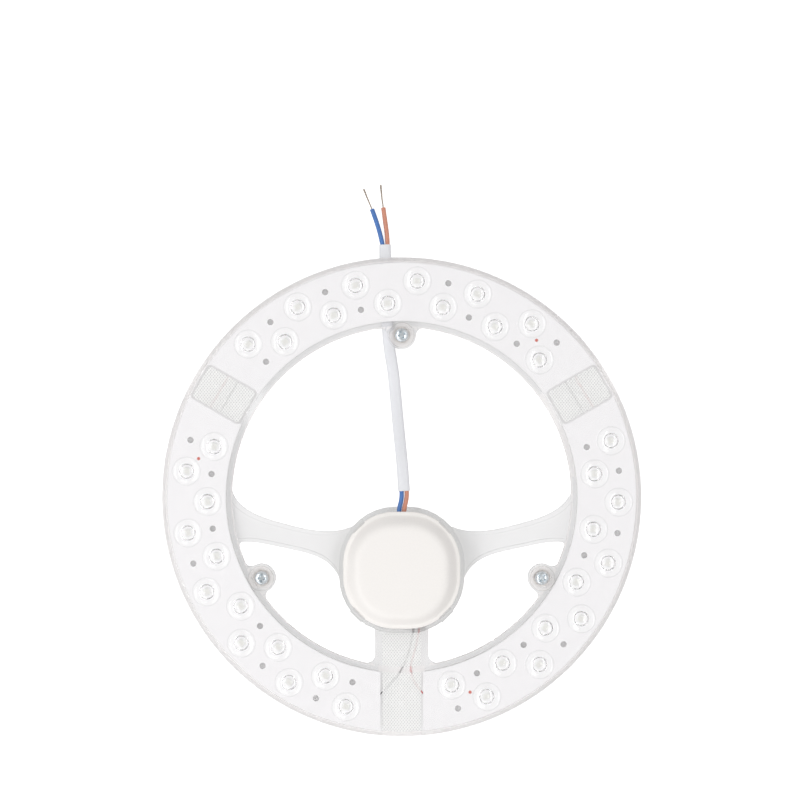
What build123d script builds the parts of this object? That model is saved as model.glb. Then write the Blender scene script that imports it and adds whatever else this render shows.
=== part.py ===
from build123d import *

import os
from math import atan2, cos, degrees, pi, radians, sin, sqrt, tan

os.makedirs("parts", exist_ok=True)

# Millimetres. The lens side faces +Z, the mains lead leaves towards +Y, and Z = 0 is the plane of
# the magnet feet. The origin is on the axis of the ring.

# Clear lens moulding: ring tray
ring_r = 110.0
ring_w = 32.0
rim_wall = 2.3
rim_draft_w = 2.0
tray_depth = 3.0
plate_t = 1.8

# Lenses: two staggered rows over each board, each lens a facetted dome with a flat crown
lens_row_count = 6
lens_pitch_deg = 16.4
lens_row_share = 0.16
lens_sides = 10
lens_base_r = 6.3
lens_waist_r = 5.0
lens_crown_r = 2.9
lens_waist_h = 2.1
lens_crown_h = 3.3

# Windows between the boards
side_window_w = 15.2
spoke_window_w = 18.4
window_rib_t = 1.2

# Boards and LEDs
board_t = 1.0
board_edge_gap = 0.4
board_seat_w = 0.6
led_l = 3.5
led_w = 2.8
led_h = 0.7
led_head_room = 0.2

# Heat-stake posts on the cover, through the boards
post_w = 2.2
post_hole_gap = 0.15
post_head_h = 0.8
post_row_gap = 1.1
outer_post_steps = (0, 2, 4, 5)
inner_post_steps = (0, 1, 3, 5)

# Hub bowl and driver cap
hub_y = -33.0
hub_wall = 1.6
hub_floor_t = 1.6
hub_h = 10.0
cap_w = 53.2
cap_flat = 6.2
cap_corner_facets = 9
cap_gap = 0.3
cap_ledge_w = 1.5
cap_flange_t = 1.6
cap_band_w = 2.3
cap_slope_w = 2.3
cap_rise = 6.4
cap_wall = 1.5
cap_inner_sides = 12
hook_w = 7.0
hook_t = 1.3
hook_reach = 1.0
nub_r = 2.0
nub_sides = 6
nub_deg = 237.0

# Side arms and bottom spoke
arm_wall = 1.6
arm_top_deg = 171.6
arm_low_deg = 195.5
arm_waist_share = 0.692
arm_waist_top = 20.8
arm_waist_low = 9.8
arm_hub_top_deg = 127.0
arm_hub_low_deg = 194.0
spoke_w = 24.6
spoke_fillet = 4.0
arm_fillet = 2.2

# Screw lugs, screws and magnet feet
lug_inset = 3.8
lug_r = 6.6
lug_fillet = 3.5
screw_r = 1.5
screw_sides = 8
screw_clearance = 0.2
screw_head_r = 3.1
screw_head_sides = 12
screw_head_h = 2.2
screw_seat_r = 4.5
screw_seat_sides = 12
screw_seat_d = 2.6
screw_tip_gap = 0.4
magnet_r = 4.0
magnet_sides = 14
magnet_h = 5.0
magnet_face_t = 1.0
thread_gap = 0.05

# Driver in the hub: board, ribs under it and parts on it
driver_board_w = 40.0
driver_board_l = 36.0
driver_board_t = 1.2
driver_board_chamfer = 8.0
driver_rib_l = 30.0
driver_rib_h = 1.4
driver_rib_t = 1.5
driver_rib_pitch = 20.0
transformer_at = (-1.0, 2.0)
transformer_w = 16.0
transformer_t = 6.0
transformer_h = 9.6
transformer_leg = 2.5
transformer_yoke = 1.8
winding_l = 12.0
winding_gap = 0.1
input_can_at = (-1.0, -11.0)
input_can_r = 4.0
input_can_l = 14.0
output_can_at = (13.5, 4.0)
output_can_r = 3.2
output_can_l = 11.0
choke_at = (12.0, -7.5)
choke_r = 3.2
choke_h = 7.0
can_sides = 16
film_at = (-14.0, 5.0)
film_w = 4.0
film_l = 10.0
film_h = 7.5
fuse_at = (-14.5, -6.0)
fuse_r = 1.4
fuse_sides = 8
fuse_l = 7.0
bridge_at = (8.0, 13.0)
bridge_w = 4.8
bridge_l = 4.0
bridge_h = 1.6
chip_at = (-8.0, 12.0)
chip_w = 5.0
chip_l = 4.0
chip_h = 1.6

# Leads behind the boards and under the spoke
lead_r = 0.5
lead_sides = 4
lead_overlap = 4.0
lead_row_gap = 5.0
lead_pitch = 2.6
lead_side_gap = 1.7
lead_slot_gap = 1.15
lead_slot_l = 6.0
lead_rib_gap = 2.5
lead_bend_r = 9.0

# Mains lead
core_r = 1.05
core_sides = 6
core_pitch = 2.3
sheath_w = 5.4
sheath_t = 3.4
sheath_round_w = 1.2
strand_r = 0.35
strand_sides = 6
cord_notch_x = -0.45
cord_notch_gap = 0.6

# Levels and radii that follow from the sizes above
back_z = magnet_h
plate_z = back_z + tray_depth
face_z = plate_z + plate_t
opening_r = ring_r - ring_w
ring_mid_r = ring_r - ring_w / 2
tray_out_r = ring_r - rim_wall
tray_in_r = opening_r + rim_wall
web_r = opening_r + rim_wall / 2
outer_row_r = ring_mid_r + lens_row_share * ring_w
inner_row_r = ring_mid_r - lens_row_share * ring_w
outer_post_r = outer_row_r + post_row_gap
inner_post_r = inner_row_r - post_row_gap
arm_waist_x = arm_waist_share * opening_r
red_lead_x = spoke_w / 2 - arm_wall - lead_side_gap
black_lead_x = red_lead_x - lead_pitch
board_face_z = plate_z - led_h - led_head_room
board_z = board_face_z - board_t
hub_rim_z = back_z + hub_h
hub_floor_z = back_z + hub_floor_t
ledge_z = hub_rim_z - cap_flange_t
driver_board_z = hub_floor_z + driver_rib_h
driver_top_z = driver_board_z + driver_board_t
lug_ring_r = opening_r - lug_inset
segments = {"top": 90.0, "left": 210.0, "right": 330.0}
side_windows = {"right": 30.0, "left": 150.0}
spoke_heading = 270.0
window_widths = {heading: side_window_w for heading in side_windows.values()}
window_widths[spoke_heading] = spoke_window_w


def polar(radius, angle):
    return (radius * cos(radians(angle)), radius * sin(radians(angle)))


def turned_place(radius, angle):
    """A place on a circle about the ring's axis, turned to face along its radius."""
    return Location((*polar(radius, angle), 0), (0, 0, angle))


def about_hub(radius, angle):
    x, y = polar(radius, angle)
    return (x, y + hub_y)


def row_angles(heading, stagger):
    """Directions of one row of lenses on the board that faces this heading."""
    first = heading + stagger - lens_pitch_deg * (lens_row_count - 1) / 2
    return [first + step * lens_pitch_deg for step in range(lens_row_count)]


def lens_places(heading):
    outer = [turned_place(outer_row_r, angle) for angle in row_angles(heading, lens_pitch_deg / 4)]
    inner = [turned_place(inner_row_r, angle) for angle in row_angles(heading, -lens_pitch_deg / 4)]
    return outer + inner


def post_places(heading):
    """Each post stands beside a lens, at the other row's side of the board."""
    outer_angles = row_angles(heading, -lens_pitch_deg / 4)
    inner_angles = row_angles(heading, lens_pitch_deg / 4)
    outer = [turned_place(outer_post_r, outer_angles[step]) for step in outer_post_steps]
    inner = [turned_place(inner_post_r, inner_angles[step]) for step in inner_post_steps]
    return outer + inner


def cap_outline(grow):
    """The cap's rounded square, grown on every side, with facetted corners about the hub's centre."""
    radius = (cap_w - cap_flat) / 2 + grow
    points = []
    for quarter in range(4):
        centre_x, centre_y = about_hub(cap_flat / sqrt(2), 90 * quarter + 45)
        for step in range(cap_corner_facets + 1):
            x, y = polar(radius, 90 * (quarter + step / cap_corner_facets))
            points.append((centre_x + x, centre_y + y))
    return points


def facet_slope(low_r, high_r, height):
    """Taper of a facetted lens stage between two corner radii."""
    return degrees(atan2((low_r - high_r) * cos(pi / lens_sides), height))


def tube_radii(points):
    """Bend radii of a tube: as large as the runs on both sides of each point allow."""
    radii = []
    for before, here, after in zip(points, points[1:], points[2:]):
        first = Vector(here) - Vector(before)
        second = Vector(after) - Vector(here)
        turn = radians(first.get_angle(second))
        radii.append(0.45 * min(first.length, second.length) / tan(turn / 2))
    return radii


def save(part, name):
    part.label = name
    export_step(part, f"parts/{name}.step")


hub_outline = cap_outline(cap_gap + hub_wall)
hub_r = cap_w / 2 + cap_gap + hub_wall
hook_r = cap_w / 2 + cap_flat / 2 * (sqrt(2) - 1) + cap_gap - hook_reach
lug_places = [polar(lug_ring_r, angle) for angle in segments.values()]

# One lens, used at every LED
with BuildPart() as lens:
    with BuildSketch(Plane.XY.offset(face_z)):
        RegularPolygon(lens_base_r, lens_sides)
    extrude(amount=lens_waist_h, taper=facet_slope(lens_base_r, lens_waist_r, lens_waist_h))
    crown_h = lens_crown_h - lens_waist_h
    waist = lens.faces().sort_by(Axis.Z)[-1]
    extrude(waist, amount=crown_h, taper=facet_slope(lens_waist_r, lens_crown_r, crown_h))

# Outline of the left arm: both edges run tangent to the ring and to the hub
with BuildSketch() as arm_plan:
    with BuildLine():
        top_edge = Spline(
            polar(web_r, arm_top_deg),
            (-arm_waist_x, hub_y + arm_waist_top),
            about_hub(hub_r, arm_hub_top_deg),
            tangents=(polar(1, arm_top_deg + 90), polar(1, arm_hub_top_deg - 90)),
        )
        low_edge = Spline(
            polar(web_r, arm_low_deg),
            (-arm_waist_x, hub_y + arm_waist_low),
            about_hub(hub_r, arm_hub_low_deg),
            tangents=(polar(1, arm_low_deg + 180), polar(1, arm_hub_low_deg + 90)),
        )
        ThreePointArc(top_edge @ 0, polar(web_r, (arm_top_deg + arm_low_deg) / 2), low_edge @ 0)
        Line(top_edge @ 1, low_edge @ 1)
    make_face()

# Lens cover: one clear moulding with the ring tray, lenses, windows, arms, hub bowl and lugs
with BuildPart() as lens_cover:
    with BuildSketch(Plane.XZ):
        with BuildLine():
            Polyline(
                (ring_r, back_z),
                (ring_r - rim_draft_w, face_z),
                (opening_r, face_z),
                (opening_r, back_z),
                (tray_in_r, back_z),
                (tray_in_r, plate_z),
                (tray_out_r, plate_z),
                (tray_out_r, back_z),
                close=True,
            )
        make_face()
    revolve(axis=Axis.Z)

    # Plan of the web: arms, spoke and lugs with their fillets to the ring
    with BuildSketch(Plane.XY.offset(back_z)) as web_plan:
        Circle(web_r)
        Circle(opening_r, mode=Mode.SUBTRACT)
        with Locations((0, (hub_y - web_r) / 2)):
            Rectangle(spoke_w, web_r + hub_y)
        with Locations(*lug_places):
            Circle(lug_r)
        Circle(web_r, mode=Mode.INTERSECT)
        on_opening = [v for v in web_plan.vertices() if abs(Vector(v).length - opening_r) < 0.01]
        lug_corners = [
            v
            for v in on_opening
            for place in lug_places
            if (Vector(v) - Vector(place)).length < lug_r + 0.01
        ]
        fillet(lug_corners, lug_fillet)
        spoke_corners = [
            v
            for v in web_plan.vertices()
            if abs(Vector(v).length - opening_r) < 0.01 and abs(abs(v.X) - spoke_w / 2) < 0.01
        ]
        fillet(spoke_corners, spoke_fillet)
        add(arm_plan.sketch)
        mirror(arm_plan.sketch, about=Plane.YZ)
        arm_low_y = opening_r * sin(radians(arm_low_deg))
        arm_corners = [
            v
            for v in web_plan.vertices()
            if abs(Vector(v).length - opening_r) < 0.01 and abs(v.Y - arm_low_y) < arm_fillet
        ]
        fillet(arm_corners, arm_fillet)
        with Locations(about_hub(hub_r, nub_deg)):
            RegularPolygon(nub_r, nub_sides)
    extrude(amount=face_z - back_z)
    with BuildSketch(Plane.XY.offset(back_z)):
        Polygon(*hub_outline, align=None)
    extrude(amount=hub_h)

    # Arms are hollow behind: the pocket is the outline moved in from both edges
    with BuildSketch(Plane.XY.offset(back_z)):
        with Locations((-arm_wall, -arm_wall)):
            add(arm_plan.sketch)
        with Locations((0, arm_wall)):
            add(arm_plan.sketch, mode=Mode.INTERSECT)
        Circle(opening_r, mode=Mode.INTERSECT)
        Polygon(*hub_outline, align=None, mode=Mode.SUBTRACT)
        mirror(about=Plane.YZ)
    extrude(amount=tray_depth, mode=Mode.SUBTRACT)

    # Channel for the leads under the spoke, open to the ring tray
    channel_end_y = -tray_in_r - board_edge_gap
    with BuildSketch(Plane.XY.offset(back_z)):
        with Locations((0, channel_end_y)):
            Rectangle(
                spoke_w - 2 * arm_wall,
                hub_y - hub_r - channel_end_y,
                align=(Align.CENTER, Align.MIN),
            )
    extrude(amount=tray_depth, mode=Mode.SUBTRACT)

    # Hub bowl with the ledge that carries the cap
    with BuildSketch(Plane.XY.offset(hub_floor_z)):
        Polygon(*cap_outline(cap_gap - cap_ledge_w), align=None)
    extrude(amount=hub_h, mode=Mode.SUBTRACT)
    with BuildSketch(Plane.XY.offset(ledge_z)):
        Polygon(*cap_outline(cap_gap), align=None)
    extrude(amount=cap_flange_t, mode=Mode.SUBTRACT)

    # Ribs under the driver board, a slot for the leads and a notch for the mains cores
    with BuildSketch(Plane.XY.offset(hub_floor_z)):
        with Locations((0, hub_y + driver_rib_pitch / 2), (0, hub_y - driver_rib_pitch / 2)):
            Rectangle(driver_rib_l, driver_rib_t)
    extrude(amount=driver_rib_h)
    with BuildSketch(Plane.XY.offset(hub_floor_z)):
        with Locations(((red_lead_x + black_lead_x) / 2, hub_y - hub_r)):
            Rectangle(lead_pitch + 2 * (lead_r + lead_slot_gap), 2 * lead_slot_l)
    extrude(amount=plate_z - hub_floor_z, mode=Mode.SUBTRACT)
    with BuildSketch(Plane.XY.offset(driver_top_z)):
        with Locations((cord_notch_x, hub_y + hub_r)):
            Rectangle(core_pitch + 2 * (core_r + cord_notch_gap), 2 * (hub_wall + cap_ledge_w + cap_gap))
    extrude(amount=hub_rim_z - driver_top_z, mode=Mode.SUBTRACT)

    # Snap hooks over the cap's flange
    with BuildSketch(Plane.XY.offset(hub_rim_z)):
        with Locations((0, hub_y)):
            with PolarLocations(hook_r, 4, start_angle=45):
                Rectangle(hook_reach + hub_wall, hook_w, align=(Align.MIN, Align.CENTER))
    extrude(amount=hook_t)

    # A lens over each LED, and the posts that go through the boards
    for heading in segments.values():
        with Locations(*lens_places(heading)):
            add(lens.part)
        with BuildSketch(Plane.XY.offset(plate_z)):
            with Locations(*post_places(heading)):
                Rectangle(post_w, post_w)
        extrude(amount=board_z - post_head_h - plate_z)

    # Ribs at both sides of each window, which carry the ends of the boards
    for heading, width in window_widths.items():
        rib_offset = (width + window_rib_t) / 2
        with BuildSketch(Plane.XY.offset(plate_z)):
            with Locations(Rotation(0, 0, heading)):
                with Locations((web_r, rib_offset), (web_r, -rib_offset)):
                    Rectangle(ring_r - web_r, window_rib_t, align=(Align.MIN, Align.CENTER))
            Circle(tray_out_r + rim_wall / 2, mode=Mode.INTERSECT)
        extrude(amount=board_face_z - plate_z)

    # Screw seats and holes in the lugs
    with BuildSketch(Plane.XY.offset(face_z)):
        with Locations(*lug_places):
            RegularPolygon(screw_seat_r, screw_seat_sides)
    extrude(amount=-screw_seat_d, mode=Mode.SUBTRACT)
    with BuildSketch(Plane.XY.offset(back_z)):
        with Locations(*lug_places):
            RegularPolygon(screw_r + screw_clearance, screw_sides)
    extrude(amount=face_z - back_z, mode=Mode.SUBTRACT)
save(lens_cover.part, "lens_cover")

# LED boards: three arcs that end on the window ribs, with holes for the posts
with BuildSketch() as board_plan:
    Circle(tray_out_r - board_edge_gap)
    Circle(tray_in_r + board_edge_gap, mode=Mode.SUBTRACT)
    for heading, width in window_widths.items():
        with Locations(Rotation(0, 0, heading)):
            Rectangle(
                ring_r,
                width + 2 * (window_rib_t - board_seat_w),
                align=(Align.MIN, Align.CENTER),
                mode=Mode.SUBTRACT,
            )

for side, heading in segments.items():
    board_face = board_plan.faces().sort_by_distance(polar(outer_row_r, heading))[0]
    with BuildPart() as led_board:
        with BuildSketch(Plane.XY.offset(board_z)):
            add(board_face)
            with Locations(*post_places(heading)):
                Rectangle(post_w + 2 * post_hole_gap, post_w + 2 * post_hole_gap, mode=Mode.SUBTRACT)
        extrude(amount=board_t)
    save(led_board.part, f"led_board_{side}")

    # Surface-mount LEDs on the board's face
    with BuildPart() as leds:
        with BuildSketch(Plane.XY.offset(board_face_z)):
            with Locations(*lens_places(heading)):
                Rectangle(led_w, led_l)
        extrude(amount=led_h)
    save(leds.part, f"leds_{side}")

# Driver cap: a lid with sloping sides on a flange that sits on the bowl's ledge
cap_inner_h = cap_flange_t + cap_rise - cap_wall
with BuildPart() as driver_cover:
    with BuildSketch(Plane.XY.offset(ledge_z)):
        Polygon(*cap_outline(0), align=None)
    extrude(amount=cap_flange_t)
    with BuildSketch(Plane.XY.offset(hub_rim_z)):
        Polygon(*cap_outline(-cap_band_w), align=None)
    extrude(amount=cap_rise, taper=degrees(atan2(cap_slope_w, cap_rise)))
    with BuildSketch(Plane.XY.offset(ledge_z)):
        with Locations((0, hub_y)):
            RegularPolygon(cap_w / 2 - cap_band_w - cap_wall, cap_inner_sides)
    extrude(amount=cap_inner_h, taper=degrees(atan2(cap_slope_w, cap_inner_h)), mode=Mode.SUBTRACT)
save(driver_cover.part, "driver_cover")

# Screws: pan heads on the lugs, threaded into the magnet feet
seat_z = face_z - screw_seat_d
screw_tip_z = magnet_face_t + screw_tip_gap
with BuildPart() as mounting_screws:
    with BuildSketch(Plane.XY.offset(seat_z)):
        with Locations(*lug_places):
            RegularPolygon(screw_head_r, screw_head_sides)
    extrude(amount=screw_head_h)
    with BuildSketch(Plane.XY.offset(seat_z)):
        with Locations(*lug_places):
            RegularPolygon(screw_r, screw_sides)
    extrude(amount=screw_tip_z - seat_z)
save(mounting_screws.part, "mounting_screws")

# Magnet feet: steel-cased magnets with a blind threaded hole, flat on the lugs
with BuildPart() as mounting_magnets:
    with BuildSketch():
        with Locations(*lug_places):
            RegularPolygon(magnet_r, magnet_sides)
    extrude(amount=magnet_h)
    with BuildSketch(Plane.XY.offset(magnet_face_t)):
        with Locations(*lug_places):
            RegularPolygon(screw_r + thread_gap, screw_sides)
    extrude(amount=magnet_h - magnet_face_t, mode=Mode.SUBTRACT)
save(mounting_magnets.part, "mounting_magnets")

# Driver board on its ribs in the hub bowl
with BuildPart() as driver_board:
    with BuildSketch(Plane.XY.offset(driver_board_z)):
        with Locations((0, hub_y)):
            Rectangle(driver_board_w, driver_board_l)
        chamfer(vertices(), driver_board_chamfer)
    extrude(amount=driver_board_t)
save(driver_board.part, "driver_board")

# Parts on the driver board, each standing or lying on its face
on_board = Plane.XY.offset(driver_top_z)


def driver_place(place):
    return (place[0], place[1] + hub_y)


def lying_can(radius, sides, place, heading):
    """Plane across a can that lies on the driver board, with its axis along the heading."""
    x, y = driver_place(place)
    axis = polar(1, heading)
    return Plane(
        origin=(x, y, driver_top_z + radius * cos(pi / sides)),
        x_dir=(-axis[1], axis[0], 0),
        z_dir=(axis[0], axis[1], 0),
    )


transformer_x, transformer_y = driver_place(transformer_at)
window_w = transformer_w - 2 * transformer_leg
window_h = transformer_h - 2 * transformer_yoke
with BuildPart() as transformer_core:
    with BuildSketch(Plane.XZ.offset(-transformer_y)):
        with Locations((transformer_x, driver_top_z + transformer_h / 2)):
            Rectangle(transformer_w, transformer_h)
            Rectangle(window_w, window_h, mode=Mode.SUBTRACT)
    extrude(amount=transformer_t / 2, both=True)
save(transformer_core.part, "transformer_core")

with BuildPart() as transformer_winding:
    with BuildSketch(Plane.XY.offset(driver_top_z + transformer_yoke)):
        with Locations(driver_place(transformer_at)):
            Rectangle(window_w - 2 * winding_gap, winding_l)
    extrude(amount=window_h - winding_gap)
save(transformer_winding.part, "transformer_winding")

with BuildPart() as input_capacitor:
    with BuildSketch(lying_can(input_can_r, can_sides, input_can_at, 0)):
        RegularPolygon(input_can_r, can_sides, rotation=180 / can_sides)
    extrude(amount=input_can_l / 2, both=True)
save(input_capacitor.part, "input_capacitor")

with BuildPart() as output_capacitor:
    with BuildSketch(lying_can(output_can_r, can_sides, output_can_at, 90)):
        RegularPolygon(output_can_r, can_sides, rotation=180 / can_sides)
    extrude(amount=output_can_l / 2, both=True)
save(output_capacitor.part, "output_capacitor")

with BuildPart() as fuse_resistor:
    with BuildSketch(lying_can(fuse_r, fuse_sides, fuse_at, 90)):
        RegularPolygon(fuse_r, fuse_sides, rotation=180 / fuse_sides)
    extrude(amount=fuse_l / 2, both=True)
save(fuse_resistor.part, "fuse_resistor")

with BuildPart() as choke:
    with BuildSketch(on_board):
        with Locations(driver_place(choke_at)):
            RegularPolygon(choke_r, can_sides)
    extrude(amount=choke_h)
save(choke.part, "choke")

with BuildPart() as suppression_capacitor:
    with BuildSketch(on_board):
        with Locations(driver_place(film_at)):
            Rectangle(film_w, film_l)
    extrude(amount=film_h)
save(suppression_capacitor.part, "suppression_capacitor")

with BuildPart() as bridge_rectifier:
    with BuildSketch(on_board):
        with Locations(driver_place(bridge_at)):
            Rectangle(bridge_w, bridge_l)
    extrude(amount=bridge_h)
save(bridge_rectifier.part, "bridge_rectifier")

with BuildPart() as driver_chip:
    with BuildSketch(on_board):
        with Locations(driver_place(chip_at)):
            Rectangle(chip_w, chip_l)
    extrude(amount=chip_h)
save(driver_chip.part, "driver_chip")

# Link leads: soldered to the backs of two boards, straight across each side window
lead_flat = lead_r * cos(pi / lead_sides)
lead_z = board_z - lead_flat
link_half_l = side_window_w / 2 + window_rib_t + lead_overlap
link_radii = {"red": ring_mid_r + lead_row_gap / 2, "black": ring_mid_r - lead_row_gap / 2}
for side, heading in side_windows.items():
    across = polar(1, heading)
    for colour, radius in link_radii.items():
        with BuildPart() as link_lead:
            with BuildSketch(
                Plane(
                    origin=(*polar(radius, heading), lead_z),
                    x_dir=(across[0], across[1], 0),
                    z_dir=(-across[1], across[0], 0),
                )
            ):
                RegularPolygon(lead_r, lead_sides, rotation=180 / lead_sides)
            extrude(amount=link_half_l, both=True)
        save(link_lead.part, f"link_lead_{colour}_{side}")

# Driver leads: from the underside of the driver board, through the slot and down the spoke
lead_start_y = hub_y - driver_rib_pitch / 2 - lead_rib_gap
lead_start_z = driver_board_z - lead_flat
lead_slot_y = hub_y - hub_r - hub_wall
lead_slot_z = (hub_floor_z + plate_z) / 2
lead_turn_y = -tray_in_r - lead_overlap
lead_turn_z = lead_z - lead_r / 4
lead_end_x = spoke_window_w / 2 + window_rib_t + lead_overlap
driver_lead_routes = {
    "red": [
        (red_lead_x, lead_start_y, lead_start_z),
        (red_lead_x - 0.4, lead_slot_y, lead_slot_z),
        (lead_pitch / 2, lead_turn_y, lead_turn_z),
        (lead_end_x, -ring_mid_r, lead_z),
    ],
    "black": [
        (black_lead_x, lead_start_y, lead_start_z),
        (black_lead_x - 0.4, lead_slot_y, lead_slot_z),
        (-lead_pitch / 2, lead_turn_y, lead_turn_z),
        (-lead_end_x, -ring_mid_r, lead_z),
    ],
}
for colour, route in driver_lead_routes.items():
    bends = [min(bend, lead_bend_r) for bend in tube_radii(route)]
    print("driver_lead_" + colour, "bend radii", [round(bend, 1) for bend in bends])
    with BuildPart() as driver_lead:
        with BuildLine() as lead_path:
            FilletPolyline(*route, radius=bends)
        with BuildSketch(Plane(origin=lead_path.line @ 0, x_dir=(1, 0, 0), z_dir=lead_path.line % 0)):
            RegularPolygon(lead_r, lead_sides, rotation=180 / lead_sides)
        sweep(path=lead_path.line)
    save(driver_lead.part, "driver_lead_" + colour)

# Sheath of the mains lead: from the hub it falls to the floor and passes under the ring
sheath_route = [
    (1.1, 2.8, 10.4),
    (0.3, 15.0, 9.2),
    (-1.3, 30.0, 4.6),
    (-2.6, 44.0, 1.75),
    (-4.1, lug_ring_r - 16.2, 1.75),
    (-7.5, lug_ring_r - 3.7, 1.75),
    (-7.2, 94.5, 1.75),
    (-7.7, 116.0, 1.75),
]
sheath_bends = tube_radii(sheath_route)
print("cable_sheath bend radii", [round(bend, 1) for bend in sheath_bends])
with BuildPart() as cable_sheath:
    with BuildLine() as sheath_path:
        FilletPolyline(*sheath_route, radius=sheath_bends)
    sheath_start = Plane(origin=sheath_path.line @ 0, x_dir=(1, 0, 0), z_dir=sheath_path.line % 0)
    with BuildSketch(sheath_start):
        Polygon(
            (sheath_w / 2, 0),
            (sheath_w / 2 - sheath_round_w, sheath_t / 2),
            (sheath_round_w - sheath_w / 2, sheath_t / 2),
            (-sheath_w / 2, 0),
            (sheath_round_w - sheath_w / 2, -sheath_t / 2),
            (sheath_w / 2 - sheath_round_w, -sheath_t / 2),
            align=None,
        )
    sweep(path=sheath_path.line)
save(cable_sheath.part, "cable_sheath")
print("cable_sheath length", round(sheath_path.wire().length, 1))

# Cores: from the driver board out through the notch, and again beyond the sheath's far end
core_start_y = hub_y + driver_board_l / 2 - 1.5
core_start_z = driver_top_z + core_r
core_exit_y = hub_y + hub_r - hub_wall
blue_x = cord_notch_x - core_pitch / 2
brown_x = cord_notch_x + core_pitch / 2
core_routes = {
    "core_blue_hub": [
        (blue_x - 0.2, core_start_y, core_start_z),
        (blue_x + 0.1, core_exit_y, 10.9),
        (0.15, -0.325, 10.7),
        (-0.05, 2.725, 10.4),
    ],
    "core_brown_hub": [
        (brown_x - 0.2, core_start_y, core_start_z),
        (brown_x + 0.1, core_exit_y, 10.9),
        (2.45, -0.175, 10.7),
        (2.25, 2.875, 10.4),
    ],
    "core_blue_end": [
        (-8.85, 115.973, 1.75),
        (-8.936, 119.672, 1.75),
        (-11.2, 126.4, 1.4),
        (-13.7, 132.4, 1.1),
    ],
    "core_brown_end": [
        (-6.55, 116.027, 1.75),
        (-6.636, 119.726, 1.75),
        (-7.6, 126.6, 1.4),
        (-8.5, 133.1, 1.1),
    ],
}
for name, route in core_routes.items():
    bends = tube_radii(route)
    print(name, "bend radii", [round(bend, 1) for bend in bends])
    with BuildPart() as core:
        with BuildLine() as core_path:
            FilletPolyline(*route, radius=bends)
        with BuildSketch(Plane(origin=core_path.line @ 0, x_dir=(1, 0, 0), z_dir=core_path.line % 0)):
            RegularPolygon(core_r, core_sides)
        sweep(path=core_path.line)
    save(core.part, name)

# Stripped conductors: straight on from the cores at the far end
strand_lengths = {"blue": 10.8, "brown": 11.0}
for colour, length in strand_lengths.items():
    before, tip = (Vector(point) for point in core_routes[f"core_{colour}_end"][-2:])
    with BuildPart() as strands:
        with BuildSketch(Plane(origin=tip, x_dir=(1, 0, 0), z_dir=tip - before)):
            RegularPolygon(strand_r, strand_sides)
        extrude(amount=length)
    save(strands.part, f"strands_{colour}")
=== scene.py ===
from math import cos, pi, radians, sin

import bpy
from mathutils import Matrix, Vector


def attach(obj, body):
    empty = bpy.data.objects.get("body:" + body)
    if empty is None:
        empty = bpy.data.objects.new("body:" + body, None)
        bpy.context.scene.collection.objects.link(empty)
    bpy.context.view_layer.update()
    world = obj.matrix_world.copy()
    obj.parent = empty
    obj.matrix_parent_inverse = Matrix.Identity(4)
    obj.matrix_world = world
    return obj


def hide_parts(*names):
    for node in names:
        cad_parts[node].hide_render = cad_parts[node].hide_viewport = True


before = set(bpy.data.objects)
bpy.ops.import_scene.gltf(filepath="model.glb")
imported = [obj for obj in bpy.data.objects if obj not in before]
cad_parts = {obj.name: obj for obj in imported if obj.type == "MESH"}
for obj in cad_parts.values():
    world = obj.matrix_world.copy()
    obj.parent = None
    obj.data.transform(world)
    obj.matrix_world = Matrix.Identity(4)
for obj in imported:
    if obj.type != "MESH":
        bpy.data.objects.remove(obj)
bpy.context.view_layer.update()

# The clear cover is one acrylic moulding: a ring tray with a round lens over each LED, prism
# windows, two arms, a bottom spoke, the hub bowl and three screw lugs. It starts as a copy of the
# CAD solid, whose facetted lenses and square posts give way to polished domes and round rivets.
mm = 0.001
plate_z = 8.0 * mm
face_z = 9.8 * mm
board_z = 6.1 * mm
tray_in_r = 80.3 * mm
tray_out_r = 107.7 * mm
window_r = 94.0 * mm
lug_r = 74.2 * mm
lens_pitch = 16.4
lens_steps = [lens_pitch * (step - 2.5) for step in range(6)]
outer_row_r = 99.12 * mm
inner_row_r = 88.88 * mm
outer_post_r = 100.22 * mm
inner_post_r = 87.78 * mm
outer_post_steps = (0, 2, 4, 5)
inner_post_steps = (0, 1, 3, 5)
board_headings = {"top": 90.0, "left": 210.0, "right": 330.0}
window_headings = {"right": 30.0, "left": 150.0}
spoke_heading = 270.0


def on_ring(radius, heading, height=0.0):
    """A turn about the ring's axis that puts a shape at a radius, facing along it."""
    return Matrix.Rotation(radians(heading), 4, "Z") @ Matrix.Translation((radius, 0, height))


def lens_spots(heading):
    """The radius and heading of each lens over one board, in two staggered rows."""
    outer = [(outer_row_r, heading + step + lens_pitch / 4) for step in lens_steps]
    return outer + [(inner_row_r, heading + step - lens_pitch / 4) for step in lens_steps]


def post_spots(heading):
    """The radius and heading of each post through one board, between the lenses."""
    outer = [(outer_post_r, heading + lens_steps[i] - lens_pitch / 4) for i in outer_post_steps]
    return outer + [(inner_post_r, heading + lens_steps[i] + lens_pitch / 4) for i in inner_post_steps]


def hold(piece):
    """Makes one object the only selected one, and the active one."""
    if bpy.context.mode != "OBJECT":
        bpy.ops.object.mode_set(mode="OBJECT")
    bpy.ops.object.select_all(action="DESELECT")
    piece.select_set(True)
    bpy.context.view_layer.objects.active = piece


def pick_faces(piece, wanted):
    """Opens a piece in edit mode with only the wanted faces selected."""
    hold(piece)
    bpy.context.tool_settings.mesh_select_mode = (False, False, True)
    bpy.ops.object.mode_set(mode="EDIT")
    bpy.ops.mesh.select_all(action="DESELECT")
    bpy.ops.object.mode_set(mode="OBJECT")
    for face in piece.data.polygons:
        face.select = bool(wanted(face))
    bpy.ops.object.mode_set(mode="EDIT")


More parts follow.
